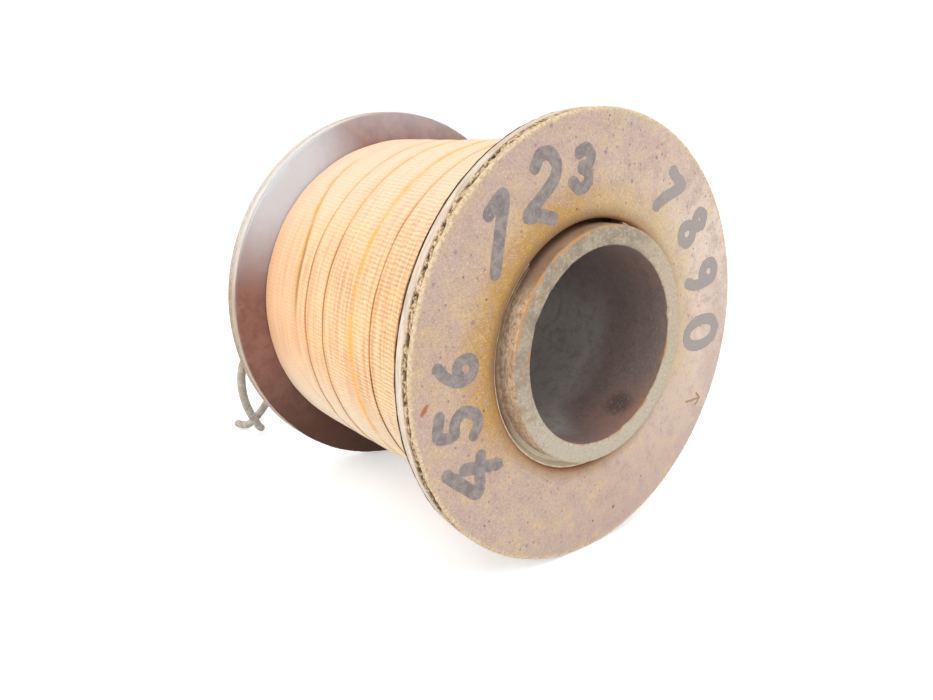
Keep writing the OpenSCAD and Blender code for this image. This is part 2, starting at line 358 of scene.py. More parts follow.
def flange_finish():
    """Yellow-passivated plate, mottled ochre and mauve, with specks, pits, a cream burr and a torn rim,
    painted paler towards the right, with a painted shadow beside the ring's gap and painted glare on an
    unworn rim.
    """
    f = Finish("flange_steel", 0.3, metallic=0.1)
    x, z, radius = f.axis("X"), f.axis("Z"), f.from_axis(HOLE_CENTRE)
    broad, mottle = f.noise(9, 3, 0.6), f.noise(2.4, 5, 0.65, 0.2)
    grain, grit = f.noise(0.5, 4, 0.75), f.noise(0.24, 2, 0.6)
    wander = (broad - 0.5) * 14
    side, up = x + wander, z + wander
    gold = f.mix(f.fade(side, -14, 20), (189, 143, 64), (208, 184, 152))
    golden = f.fade(radius + wander * 0.45, 29, 21.5) * f.fade(up, -18, -5)
    mauve = f.fade(radius, 27, 34) * f.fade(broad, 0.44, 0.62)
    # The texture stands out less towards the right and below
    near = f.fade(x - z * 0.7, 34, 2) * 0.55 + 0.45
    freckles = f.math("MAXIMUM", f.spots(1.3, 0.3, 0.45), f.spots(2.9, 0.45, 0.35))
    pits = f.math("MAXIMUM", f.spots(3.4, 0.24, 0.4), f.spots(6.2, 0.45, 0.3))
    slanted = f.node("VectorRotate", {
        "Vector": f.vector("SUBTRACT", f.place, SCRATCH_AT), "Angle": SCRATCH_SLANT}, rotation_type="Y_AXIS")
    scratch = f.from_point((0, 0, 0), f.vector("MULTIPLY", slanted, (SCRATCH_SLIMNESS, 1, 1))) + grain * 1.6
    from_hole = radius + grain * 1.6 - HOLE_R
    tube_shadow_side = f.fade(z - x, 14, 22) * f.fade(x, 6, -2)
    wall = f.fade(f.math("ABSOLUTE", f.axis("Y")), REAR_Y - 0.5, REAR_Y - 1.1)
    run = f.noise(1.6, 4, 0.7, place=f.stretched(3, 0.6, 3))
    face = f.over(
        # Paler towards the right: painted light
        f.mix(f.fade(side, -22, 30), (200, 171, 146), (227, 206, 189)),
        (up, 4, -34, 1, (196, 172, 154)),
        (up, 14, 30, 0.65, (197, 172, 150)),
        (golden, 1, gold),
        (mottle, 0.47, 0.7, 0.7, (184, 156, 148)),
        (mottle, 0.48, 0.32, 0.52, (219, 186, 130)),
        (mauve, 0.6, (190, 166, 160)),
        (golden, 0.4, gold),
        (grain, 0.52, 0.72, near * 0.6, (168, 134, 104)),
        (grain, 0.44, 0.24, near * 0.45, (240, 218, 184)),
        (grit, 0.54, 0.72, near * 0.4, (152, 120, 94)),
        (grit, 0.46, 0.3, near * 0.3, (246, 226, 196)),
        (freckles, near * 0.7, (144, 120, 132)),
        (pits, 0.75, (96, 74, 66)),
        (scratch, 2.1, 1.5, 0.85, (180, 92, 56)),
        # Darker brown round the hole, a reddish line at its mouth, and a painted shadow beside the ring's
        # gap at the upper left, where the tube stands proud
        (from_hole, 3.6, 1.2, 0.55, (150, 112, 62)),
        (from_hole, 1.7, 1.2, 0.4, (150, 84, 52)),
        (from_hole, 2.6, 1.3, tube_shadow_side * 0.6, (128, 102, 76)),
        (wall * f.math("LESS_THAN", radius, HOLE_R + 0.6), 1, (156, 126, 98)),
        (f.fact("cream"), 1, f.mix(f.fade(grain, 0.4, 0.6), (226, 204, 172), (198, 170, 130))),
        (f.fact("torn"), 1, f.mix(f.fade(f.noise(0.4, 3, 0.7), 0.42, 0.62), (226, 198, 156),
                                  (150, 120, 92))),
        (f.fact("pit"), 1, f.mix(f.fade(z, 24, 6), (54, 40, 34), (88, 66, 50))),
        (f.fact("burnished"), 1, f.mix(f.fade(run, 0.35, 0.7), (230, 214, 194), (194, 174, 154))),
        (f.fact("dull"), 0.85, (166, 144, 126)),
        # Painted glare, a near-white painted highlight, on an unworn rim at the upper left
        (f.fact("bloom"), 0.75, (232, 232, 230)))
    return f.done(face, mottle * 0.25 + 0.45, (mottle, 0.05), (grain, 0.045), (pits, -0.09))


def tube_finish():
    """Cut steel end, mottled grey-beige, with rust at its edges, dull oxide in the bore with painted light
    deep in it, and painted shade on the outer wall in the ring's gap.
    """
    f = Finish("tube_steel", 0.35, metallic=0.15)
    radius, y, z, x = f.from_axis(), f.axis("Y"), f.axis("Z"), f.axis("X")
    blotch, grain = f.noise(2.6, 5, 0.65, 0.5), f.noise(0.5, 4, 0.75)
    rust = f.noise(3.2, 4, 0.6, 0.3)
    streak = f.noise(0.8, 4, 0.7, place=f.stretched(1, 0.5, 1))
    brown = f.fade(f.noise(1.5, 5, 0.7, 0.3), 0.46, 0.62) * (f.fade(x, 16, -4) * f.fade(z, -15, -5))
    # Rust along the outer edge at the upper left and along the bore's edge at the lower right
    upper_left = f.fade(z - x * 0.8, 14, 20)
    lower_right = f.fade(x * 0.7 - z, 2, 12)
    outer_rust = f.fade(radius, TUBE_R - 0.55, TUBE_R - 0.25) * (upper_left * f.fade(rust, 0.36, 0.56))
    inner_rust = f.fade(radius, BORE_R + 0.4, BORE_R + 0.1) * (lower_right * f.fade(rust, 0.4, 0.6))
    inner_rust = f.math("MAXIMUM", inner_rust, f.fade(f.from_point(BORE_CHIP_AT), 0.9, 0.4))
    end = f.over(
        f.mix(f.fade(blotch, 0.36, 0.64), (142, 132, 116), (178, 164, 143)),
        (x + blotch * 8, 6, 20, 1, (192, 173, 149)),
        (z + blotch * 8, 6, -9, 1, (190, 178, 157)),
        (brown, 0.8, (160, 132, 98)),
        (grain, 0.52, 0.72, 0.7, (130, 115, 97)),
        (grain, 0.46, 0.28, 0.7, (226, 212, 188)),
        (f.math("MAXIMUM", outer_rust, inner_rust), 1, (190, 140, 88)))
    depth = TUBE_END_Y - f.math("ABSOLUTE", y)
    wall = f.over(
        f.mix(f.fade(blotch, 0.36, 0.66), (194, 163, 130), (228, 200, 164)),
        (streak, 0.5, 0.7, 1, (152, 112, 80)),
        (grain, 0.52, 0.68, 1, (138, 112, 88)),
        (depth, 0.6, 2.4, 1, f.mix(f.fade(streak, 0.4, 0.6), (216, 190, 162), (160, 136, 114))),
        # Darker where the wall shows in the ring's gap at the upper left: partly painted shade, partly
        # rust-brown streaks
        (z - x * 0.3, 13, 17, 0.7, f.mix(f.fade(streak, 0.42, 0.6), (104, 80, 62), (150, 110, 78))))
    # The bore is darker and browner near its mouth, and greyer and paler deep in it and towards the bottom
    # left: painted light, as if falling in from its far end. It has patches of rust and one stain
    low_left = f.fade(z, -5, -13) * f.fade(x, 7, -2)
    deep = f.fade(low_left * 8 + (depth + blotch * 3), 12, 19)
    tan = f.fade(f.from_point(BORE_TAN_AT), 9, 2) * f.fade(f.noise(1.4, 5, 0.7, 0.4), 0.42, 0.62)
    red = f.fade(f.from_point(BORE_RUST_AT), 9, 3) * f.fade(f.noise(1.6, 5, 0.7, 0.4), 0.34, 0.56)
    mouth = lower_right * f.fade(f.noise(1.3, 5, 0.7, 0.5), 0.4, 0.56)
    stain = f.fade(f.from_point(BORE_SPOT_AT), 3.4, 1.2)
    bore = f.over(
        f.mix(deep, (134, 116, 110), f.mix(f.fade(z, 9, -3), (134, 122, 116), (172, 166, 160))),
        (f.noise(2.2, 5, 0.7), 0.45, 0.7, 0.3, (92, 80, 76)),
        (grain, 0.52, 0.7, 0.4, (92, 78, 72)),
        (grain, 0.46, 0.28, 0.35, (190, 172, 158)),
        (tan, 0.55, (166, 124, 94)),
        (red, 0.7, (160, 120, 104)),
        (depth, 2.4, 0.3, mouth * 0.4, (172, 128, 96)),
        (stain, 0.65, (76, 66, 62)),
        (grain, 0.44, 0.3, stain, (176, 164, 156)))
    colour = f.mix(f.math("GREATER_THAN", radius, TUBE_R - SKIN), end, wall)
    colour = f.mix(f.math("LESS_THAN", radius, BORE_R + SKIN), colour, bore)
    drawn = f.noise(0.25, 1, 0.5, place=f.stretched(1, 40, 1))
    return f.done(colour, rust * 0.3 + 0.45, (blotch, 0.05), (grain, 0.04), (drawn, 0.02))


def ring_finish():
    """Grey-brown split ring with painted shade in its dished channel and a bright lip."""
    f = Finish("ring_steel", 0.35, metallic=0.05)
    blotch, speck = f.noise(1.4, 5, 0.7, 0.4), f.noise(0.45, 3, 0.7)
    colour = f.over(
        f.mix(f.fade(blotch, 0.35, 0.65), (164, 134, 108), (208, 176, 142)),
        (speck, 0.5, 0.68, 0.6, (118, 96, 76)),
        # Painted shade down in the dish beside the lip
        (f.fact("channel"), 1, f.mix(f.fade(speck, 0.4, 0.6), (92, 78, 64), (136, 114, 92))),
        (f.axis("Z"), -8, -17, 0.8, (228, 220, 192)),
        (f.fact("lip"), 1, f.mix(f.fade(f.noise(0.8, 3, 0.6), 0.4, 0.6), (244, 230, 204), (214, 192, 164))))
    return f.done(colour, blotch * 0.3 + 0.4, (blotch, 0.04))


def fibre_finish(name, dark, light, glare_colour=None):
    """Vulcanised fibre sheet, matt and mottled, with painted glare, a pale haze of painted light at its
    upper left and top, in the colour given where one is given.
    """
    f = Finish(name, 0.25)
    mottle, fibre = f.noise(2.2, 5, 0.65, 0.4), f.noise(0.35, 3, 0.7)
    colour = f.over(f.mix(f.fade(mottle, 0.34, 0.66), dark, light), (fibre, 0.6, 0.85, 1, light))
    if glare_colour:
        z = f.axis("Z")
        # A pale haze at the upper left and along the top: painted glare
        bloom = f.math("MAXIMUM", f.fade(f.from_point(GLARE_AT) + mottle * 6, 28, 9),
                       f.fade(z + mottle * 3, 27, 39) * 0.5)
        colour = f.over(colour, (z, -6, -28, 0.85, (84, 60, 52)), (bloom, 0.97, glare_colour))
    return f.done(colour, 0.85, (mottle, 0.04), (fibre, 0.03))


def tape_finish():
    """Woven cotton tape: ribs across it, warp threads along it, golden varnish and painted shade at its
    seams, and painted light that makes it paler on top and underneath.
    """
    f = Finish("cotton_tape", 0.12, sheen_weight=0.1, sheen_roughness=0.5)
    along, across, y, z = f.fact("along"), f.fact("across"), f.axis("Y"), f.axis("Z")
    uneven = (f.noise(1.7, 2, 0.5) - 0.5) * 0.7
    rib = f.wave(along + uneven + across * 0.07, RIB_PITCH)
    warp = f.wave(across + uneven * 0.5, WARP_PITCH)
    weave = rib * 0.5 + warp * 0.13
    # Threads that differ in shade run the length of the tape, and the cloth is never quite even
    thread_place = f.node("CombineXYZ", {0: along * 0.045, 1: across * 0.9, 2: 0.0})
    thread = f.noise(1, 5, 0.7, place=thread_place)
    fuzz = f.noise(0.28, 2, 0.7)
    # The weave shows most near the front and is softer towards the rear
    clear = f.fade(y, 24, -22) * f.fade(z, 31, 14)
    shade = (clear * 0.36 + 0.1) * (f.fade(f.noise(1.3, 3, 0.6), 0.36, 0.62) + 0.5)
    golden = f.fact("golden") * f.fade(f.noise(3.2, 4, 0.6), 0.3, 0.6)
    colour = f.over(
        f.mix(f.fade(thread, 0.36, 0.64), (251, 214, 168), (228, 166, 116)),
        (f.noise(7, 3, 0.55), 0.45, 0.7, 0.6, (254, 210, 150)),
        (y, -2, 26, 0.7, (247, 194, 152)),
        # Paler on top and on the underside: painted light, from above and as if bounced up off the floor
        (z, 8, 28, 0.75, (253, 218, 190)),
        (z, -2, -20, 0.9, (255, 236, 206)),
        (weave, 0.15, -0.6, shade, (204, 142, 88)),
        (weave, 0.2, 0.7, shade * 0.8, (255, 240, 210)),
        (fuzz, 0.6, 0.9, 0.35, (255, 242, 220)),
        (golden, 0.85, (248, 186, 92)),
        # Painted shade at the steps of the seams and in the creases
        (f.fact("seam"), 1, (132, 82, 36)))
    return f.done(colour, 0.92, (weave * (clear * 0.7 + 0.3), 0.05), (fuzz, 0.03), (thread, 0.05))


def ink_finish():
    """Grey-brown felt-pen ink that has sunk into the plate unevenly."""
    f = Finish("felt_pen_ink", 0.3)
    soak, grain = f.noise(1.4, 5, 0.65, 0.4), f.noise(0.45, 4, 0.75)
    colour = f.over(
        f.mix(f.fade(soak, 0.34, 0.66), (128, 118, 116), (158, 147, 139)),
        (f.axis("X") + soak * 10, 8, 24, 1, (163, 153, 147)),
        (grain, 0.54, 0.74, 0.7, (190, 168, 146)),
        (grain, 0.44, 0.26, 0.7, (122, 110, 108)))
    return f.done(colour, 0.6, (grain, 0.04))


def stamp_finish():
    """A darker mottled brown for a shallow stamped mark."""
    f = Finish("stamped_mark", 0.2)
    return f.done(f.mix(f.noise(0.6, 3, 0.7), (146, 114, 86), (190, 160, 128)), 0.75)


def rubber_finish(name, dark, light, core=None):
    """Matt rubber or insulation with soiling. core is the colour of the metal at a cut end."""
    f = Finish(name, 0.35)
    soil = f.noise(1.6, 5, 0.65, 0.3)
    colour = f.mix(f.fade(soil, 0.34, 0.66), dark, light)
    if core:
        colour = f.mix(f.fact("core"), colour, core)
    return f.done(colour, soil * 0.25 + 0.5, (soil, 0.03), (f.noise(0.25, 2, 0.6), 0.02))


def wire_finish(name, dark, light, pitch):
    """Close turns of wire, as fine grooves round a layer, or a plain wire where pitch is 0."""
    f = Finish(name, 0.5, metallic=0.8)
    tone = f.noise(1.2, 3, 0.6)
    colour = f.mix(f.fade(tone, 0.35, 0.65), dark, light)
    if not pitch:
        return f.done(colour, 0.35, (tone, 0.01))
    turns = f.wave(f.axis("Y"), pitch)
    colour = f.over(colour, (turns, -0.2, -0.9, 0.6, dark))
    return f.done(colour, 0.35, (turns, pitch / 8), (tone, 0.01))


def paper_finish():
    """Kraft paper with fibres."""
    f = Finish("insulating_paper", 0.2)
    fibres = f.noise(0.8, 5, 0.7, place=f.stretched(4, 1, 4))
    colour = f.mix(f.fade(fibres, 0.36, 0.64), (176, 152, 110), (204, 182, 138))
    return f.done(colour, 0.85, (fibres, 0.02))


def sleeving_finish():
    """Varnished cotton sleeving with a fine braid."""
    f = Finish("splice_sleeve", 0.5)
    y, off_axis = f.axis("Y"), f.axis("X") + f.axis("Z")
    one, two = (f.math("SINE", lean * 9) for lean in (y + off_axis, y - off_axis))
    braid = f.math("MAXIMUM", one, two)
    colour = f.mix(f.fade(braid, -0.2, 0.9), (176, 146, 84), (214, 190, 124))
    return f.done(colour, 0.45, (braid, 0.05))


def underlap_finish():
    """The tape's lower layer, in the same cotton, which only shows through chinks."""
    f = Finish("tape_underlap", 0.15)
    colour = f.mix(f.fade(f.noise(2, 4, 0.6), 0.35, 0.65), (214, 164, 108), (196, 146, 92))
    return f.done(colour, 0.92, (f.wave(f.axis("Y"), WARP_PITCH), 0.05))


# Where marks of wear lie, in millimetres in the part's frame
SCRATCH_AT = (-33.5, -29.6, -3.4)
SCRATCH_SLANT = math.radians(-38)
SCRATCH_SLIMNESS = 2.6
BORE_RUST_AT = (7.5, -29.5, -13.8)
BORE_TAN_AT = (10.5, -29.5, 11.5)
BORE_SPOT_AT = (9.4, -27.0, -12.7)
BORE_CHIP_AT = (-15.9, -31.5, 1.4)
# Where the painted glare on the rear washer is brightest
GLARE_AT = (-26.5, 25.9, 25.5)

# The tape's weave
RIB_PITCH = 0.71
WARP_PITCH = 0.78


# ------------ flanges

RIM_POINTS = 900


def flange_section(angles):
    """The flange's outline at each angle, as radii and depths below its outside face."""
    hole = to_circle(angles, HOLE_CENTRE, HOLE_R)[:, None]
    quarter = np.linspace(0, math.pi / 2, 9)[None, 1:]
    rim, flat_r = FLANGE_R - 0.04, FLANGE_R - RIM_ROUND
    face_share = np.append(np.linspace(0, 0.96, 22), [0.98, 1])[None, 1:]
    stretches = [
        # The hole's wall, its rounded mouth, the face and the rounded edge
        (hole, np.linspace(FLANGE_T - 0.1, MOUTH_R, 5)[None]),
        (hole + MOUTH_R * (1 - np.cos(quarter)), MOUTH_R * (1 - np.sin(quarter))),
        (hole + MOUTH_R + (flat_r - hole - MOUTH_R) * face_share, 0 * face_share),
        (flat_r + RIM_ROUND * np.sin(quarter), RIM_ROUND * (1 - np.cos(quarter))),
        # The torn band, the burnished band, the inside face and back to the hole
        (rim, np.linspace(RIM_ROUND + 0.08, 1.95, 16)[None]),
        (rim, np.linspace(2.05, FLANGE_T - 0.18, 7)[None]),
        (rim - 0.05, np.array([[FLANGE_T - 0.06]])),
        (rim - 0.2 + (hole + 0.3 - rim) * np.linspace(0, 1, 7)[None], np.full((1, 7), FLANGE_T)),
    ]
    shapes = [(len(angles), depths.shape[1]) for _, depths in stretches]
    return [np.concatenate([np.broadcast_to(part[k], shape) for part, shape in zip(stretches, shapes)], 1)
            for k in (0, 1)]


def build_flange(name, face_y, outward, seed, wear, material, holes=()):
    """A blanked steel flange. outward is -1 where its outside face looks to -Y and 1 to +Y.

    wear is how strongly the torn band of its rim shows, up to 1.
    """
    angles = full_turn(RIM_POINTS)
    radii, depths = flange_section(angles)
    side = around(angles[:, None], FLANGE_R, depths)
    on_rim = radii > FLANGE_R - 0.5
    # The torn band is torn most at the upper left, wide again at the lower left, and elsewhere holds
    # only scattered pits
    lean = smooth_step(0.2, 0.9, np.sin(angles - 0.7))[:, None]
    low_run = bell(np.degrees(angles) - 212, 19)[:, None]
    upper = 0.42 - 0.12 * low_run + 0.14 * noise_on(side * [1, 0, 1], 2.5, seed)
    lower = 1.35 + 0.4 * lean + 0.7 * low_run + 0.25 * noise_on(side * [1, 0, 1], 4.0, seed + 1)
    torn = on_rim * smooth_step(-0.08, 0.08, depths - upper) * smooth_step(0.08, -0.08, depths - lower)
    rag = noise_on(side * [1, 1.6, 1], 0.95, seed + 2) + 0.55 * noise_on(side * [1, 1.6, 1], 0.36, seed + 3)
    run = noise_on(side * [1, 0, 1], 7.0, seed + 4)
    easier = np.maximum(lean, 2 * low_run)
    pit = wear * torn * smooth_step(0.14 - 0.18 * easier, 0.34 - 0.17 * easier, rag + 0.3 * run)
    torn = torn * (0.3 + 0.7 * wear)
    radii = radii - 0.3 * pit - 0.05 * torn * (0.5 + 0.5 * rag)
    # A soft hammered unevenness in the face and the burr's waviness at the rim
    on_face = (depths < 0.01) & ~on_rim
    lumps = noise_on(around(angles[:, None], radii, 0.0), 9.0, seed + 5)
    depths = depths + np.where(on_face, 0.012 * (1 + lumps), 0)
    cream = smooth_step(FLANGE_R - 0.75, FLANGE_R - 0.45, radii) * smooth_step(0.05, -0.05, depths - upper)
    burnished = on_rim * smooth_step(-0.05, 0.1, depths - lower) * (depths < FLANGE_T - 0.02)
    # A rim that isn't worn is dull, but for painted glare, a near-white painted highlight, on it at the
    # upper left
    bloom = smooth_step(0.72, 0.99, np.sin(angles - 0.75))[:, None]
    dull, bloom = (on_rim * (1 - wear) * share for share in (1 - bloom, bloom))
    points = around(angles[:, None], radii, face_y - outward * depths)
    piece = add_piece(name + "_plate", points, grid_faces(*radii.shape), material, [name], {
        "torn": torn, "pit": pit, "cream": cream, "burnished": burnished, "dull": dull, "bloom": bloom})
    drill(piece, holes)


def lead_place(which):
    angle = math.radians(LEAD_ANGLES[which])
    return LEAD_RING_R * math.cos(angle), LEAD_RING_R * math.sin(angle)


def lead_holes(radius):
    return [(*lead_place(which), radius) for which in LEAD_ANGLES]


flange_steel = flange_finish()
build_flange("front_flange", FRONT_Y, -1, 3, 1.0, flange_steel)
build_flange("rear_flange", REAR_Y, 1, 11, 0.35, flange_steel, lead_holes(BUSHING_D / 2 + FIT))


# ------------ core tube

def build_tube():
    """The core tube, with worn chamfers at its ends and small dents along their edges."""
    angles = full_turn(540)
    edge = 0.4
    turn = np.linspace(0, math.pi / 2, 5)
    half = [
        # From the middle of the outer wall over one end to the middle of the bore
        *[(TUBE_R, y) for y in np.linspace(0, TUBE_END_Y - edge, 8)],
        *[(TUBE_R - edge * (1 - math.cos(a)), TUBE_END_Y - edge * (1 - math.sin(a))) for a in turn[1:]],
        *[(r, TUBE_END_Y) for r in np.linspace(TUBE_R - edge, BORE_R + edge, 7)[1:]],
        *[(BORE_R + edge * (1 - math.sin(a)), TUBE_END_Y - edge * (1 - math.cos(a))) for a in turn[1:]],
        *[(BORE_R, y) for y in np.linspace(TUBE_END_Y - edge, 0, 14)[1:]],
    ]
    outline = np.array(half + [(r, -y) for r, y in reversed(half)][1:-1])
    radii, along = (np.tile(column, (len(angles), 1)) for column in outline.T)
    place = around(angles[:, None], radii, along)
    at_end = smooth_step(TUBE_END_Y - 0.8, TUBE_END_Y - 0.1, np.abs(along))
    dents = np.clip(noise_on(place, 1.6, 21), 0.1, 1) - 0.1
    at_edge = np.maximum(bell(radii - TUBE_R, 0.5), bell(radii - BORE_R, 0.5))
    along -= np.sign(along) * at_end * at_edge * dents * 0.35
    along -= np.sign(along) * at_end * 0.03 * (1 + noise_on(place, 4, 22))
    add_piece("core_tube_steel", around(angles[:, None], radii, along),
              grid_faces(*radii.shape), tube_finish(), ["core_tube"])


build_tube()


# ------------ split rings

def build_ring(name, face_y, outward, material):
    """A split ring with its dished end and thin lip, and square-cut ends at its gap."""
    angles = np.radians(np.linspace(RING_GAP[1], RING_GAP[0] + 360, 420))
    inner = np.full_like(angles, TUBE_R + FIT)
    outer = to_circle(angles, HOLE_CENTRE, HOLE_R - FIT)
    lip = outer - RING_LIP * (1 + 0.25 * noise_on(around(angles, outer, 0.0), 2.5, 31))
    lip = np.maximum(lip, inner + 0.02)
    dish = np.minimum(RING_DISH, lip - inner)
    floor, flat = RING_SINK + dish, lip - dish
    section = [
        # Up the tube, over the floor of the dish and up its slope, over the lip and down the hole
        *stretch((inner, FLANGE_T), (inner, floor), 5, 0),
        *stretch((inner, floor), (flat, floor), 4),
        *stretch((flat, floor), (lip, RING_SINK), 5),
        ((lip + outer) / 2, RING_SINK - 0.02), (outer - 0.03, RING_SINK + 0.01),
        *stretch((outer, RING_SINK + 0.06), (outer, FLANGE_T), 6, 0),
    ]
    radii = np.stack([r + 0 * angles for r, _ in section], 1)
    depths = np.stack([d + 0 * angles for _, d in section], 1)
    place = around(angles[:, None], radii, depths)
    depths = depths + (depths < FLANGE_T - 0.1) * 0.03 * noise_on(place, 0.9, 32)
    bright = bell(radii - (lip + outer)[:, None] / 2, 0.16) * (depths < RING_SINK + 0.12)
    # Painted shade in the dish, just inside the lip
    channel = bell(radii - lip[:, None] + 0.5, 0.62) * (1 - bright)
    add_piece(name + "_steel", around(angles[:, None], radii, face_y - outward * depths),
              capped_faces(*radii.shape), material, [name],
              {"lip": bright, "channel": channel})


ring_steel = ring_finish()
build_ring("front_split_ring", FRONT_Y, -1, ring_steel)
build_ring("rear_split_ring", REAR_Y, 1, ring_steel)


# ------------ fibre washers

def build_washer(name, seed, material, holes=()):
    """A thin fibre washer with a roughly cut rim."""
    low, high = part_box(name)
    middle = (low.y + high.y) / 2 / MM
    rim = high.x / MM
    angles = full_turn(720)
    circle = around(angles, FLANGE_R, 0.0)
    rag = 0.1 * noise_on(circle, 3.0, seed) + 0.06 * noise_on(circle, 0.8, seed + 1)
    cut_rim = (rim - 0.06 + np.minimum(rag, 0.06))[:, None]
    thick = (WASHER_T / 2 * (0.86 + 0.13 * noise_on(circle, 5.0, seed + 2)))[:, None]
    inside = TUBE_R + 0.1
    out = np.linspace(0, 1, 16)[None]
    top = np.concatenate([inside + (cut_rim - 0.12 - inside) * out, cut_rim], 1)
    rise = np.concatenate([thick + 0 * out, thick * 0.6], 1)
    radii = np.concatenate([top, top[:, ::-1]], 1)
    along = middle + np.concatenate([rise, -rise[:, ::-1]], 1)
    piece = add_piece(name + "_sheet", around(angles[:, None], radii, along),
                      grid_faces(*radii.shape), material, [name])
    drill(piece, holes)


build_washer("front_fibre_washer", 41,
             fibre_finish("dark_fibre", (58, 42, 32), (96, 74, 56)))
build_washer("rear_fibre_washer", 44,
             fibre_finish("red_fibre", (134, 94, 84), (150, 110, 98), (208, 212, 219)),
             lead_holes(SLEEVE_D / 2 + 0.1))


# ------------ cotton tape

# Outer radius of the tape where it lies smooth
TAPE_TOP_R = UNDERLAP_R + 1.1
# How far each turn's rear edge runs on under the next turn
TAPE_LAP = 1.2
TAPE_RUN = 2 * TAPE_END_Y
TAPE_PITCH = (TAPE_RUN - TAPE_SEAM - 2 * TAPE_TIP_W) / (TAPE_TURNS - 1)
STEPS_PER_TURN = 240
# Past the CAD's last turn the tape winds on until its end lies hidden
HIDDEN_TURNS = 0.3
# How far each turn's front edge lies from its even place, how dark the painted shade at its seam is, and how
# golden its seam is
SEAM_SHIFT = (0, 0.1, -0.5, -0.4, -1.7, 0.5, -0.6, 0.2, 0, 0, 0)
SEAM_SHADE = (0.1, 0.3, 0.4, 1.0, 0.1, 0.7, 0.55, 0.04, 0.04, 0.04, 0.04)
SEAM_GOLD = (0.2, 0.2, 0.3, 0.3, 1.0, 0.3, 0.25, 0.1, 0.1, 0.1, 0.1)


def per_turn(values, turns):
    """A number that is given at each turn's start, at any place along the tape."""
    return np.interp(turns, range(len(values)), values)


def tape_front(turns):
    """Where the tape's front edge lies after so many turns, before it is stopped by a washer."""
    even = -TAPE_END_Y + TAPE_TIP_W - (TAPE_PITCH - TAPE_SEAM) + turns * TAPE_PITCH
    shift = per_turn(SEAM_SHIFT, turns)
    angle = math.radians(TAPE_START) + 2 * math.pi * turns
    wave = around(angle, TAPE_TOP_R, even)
    return even + shift + 0.2 * noise_on(wave, 14, 51) + 0.06 * noise_on(wave, 4, 52)


def stop_at_washers(y):
    """Squeezes what lies past the tape's end into a thin layer against the washer."""
    past = np.maximum(np.abs(y) - TAPE_END_Y, 0)
    return np.sign(y) * (np.minimum(np.abs(y), TAPE_END_Y) + 0.12 * (1 - np.exp(-past / 2)))


def build_tape():
    """The tape as one strip that winds from the front to the rear, each turn lapping the last."""
    count = int((TAPE_TURNS + HIDDEN_TURNS) * STEPS_PER_TURN) + 1
    turns = np.linspace(0, TAPE_TURNS + HIDDEN_TURNS, count)[:, None]
    angles = math.radians(TAPE_START) + 2 * math.pi * turns
    front = tape_front(turns)
    # From one edge of the tape as it shows to the other, where the next turn's edge lies on it
    show = tape_front(turns + 1) - front
    free = np.linspace(0, 1, 16)[None]
    across = np.concatenate([
        [0.0, 0.05, 0.14, 0.35, 0.8] + 0 * show,
        1.3 + (show - 0.6 - 1.3) * free,
        show + [[-0.4, -0.26, -0.16, -0.08, 0.0, 0.12, 0.24, TAPE_LAP - 0.1, TAPE_LAP]],
        show + [[TAPE_LAP - 0.05, 0.3]], 0.5 * show,
        [TAPE_LAP + 0.9, TAPE_LAP + 0.3, 0.3, 0.12] + 0 * show,
    ], 1)
    under = np.arange(across.shape[1]) >= 30
    y = stop_at_washers(front + across)
    ahead = across - show
    place = around(angles, TAPE_TOP_R, y)
    swell = 0.08 * noise_on(place, 6, 53) + 0.035 * noise_on(place, 2.2, 54)
    lapped = smooth_step(-0.03, 0.2, ahead)
    fold, golden, crease_shade = tape_marks(angles, y)
    # At the seam along its rear edge and at the one along its front edge: the strength of the painted shade
    # and of the golden varnish
    dark, front_shade = per_turn(SEAM_SHADE, turns + 1), per_turn(SEAM_SHADE, turns)
    gold, front_gold = per_turn(SEAM_GOLD, turns + 1), per_turn(SEAM_GOLD, turns)
    tight, front_tight = smooth_step(0.02, 0.5, dark), smooth_step(0.02, 0.5, front_shade)
    # The winding is fuller on top than below
    degrees = np.degrees(angles) % 360
    full = 0.2 + 0.5 * bell(degrees - 100, 55) + 0.5 * bell(degrees - 85, 40) * smooth_step(8, -18, y)
    full = full * smooth_step(TAPE_END_Y + 0.5, TAPE_END_Y - 4, np.abs(y)) ** 0.5
    top = (TAPE_TOP_R + 0.09 * front_tight * smooth_step(1.6, 0, across)
           - (0.03 + 0.11 * front_tight) * smooth_step(0.14, 0, across)
           - 0.1 * tight * smooth_step(-0.5, -0.04, ahead)
           + full + (swell + fold) * (1 - lapped) - 0.5 * lapped)
    bottom = (UNDERLAP_R + 0.1 + 0.55 * smooth_step(TAPE_LAP + 0.9, TAPE_LAP + 0.2, across)
              + 0.32 * smooth_step(0.3, 0.1, across))
    radii = np.where(under, bottom, top)
    patchy = 0.4 + 0.6 * smooth_step(-0.5, 0.3, noise_on(around(angles, TAPE_TOP_R, front), 7, 55))
    # The painted shade at the seams is faint on top
    patchy = patchy * (1 - 0.75 * smooth_step(0.3, 0.8, np.sin(angles)))
    seam = dark * patchy * smooth_step(-0.2, -0.09, ahead)
    seam = np.maximum(seam, front_shade * patchy * smooth_step(0.12, 0.04, across))
    seam = np.maximum(seam, crease_shade)
    golden = np.maximum(golden, gold * smooth_step(-1.9, -0.1, ahead))
    golden = np.maximum(golden, front_gold * smooth_step(1.5, 0, across))
    add_piece("cotton_tape_strip", around(angles, radii, y), capped_faces(*radii.shape),
              tape_finish(), ["cotton_tape"], {
                  "along": angles * TAPE_TOP_R + 0 * across,
                  "across": across, "seam": seam, "golden": golden}, crease=60)


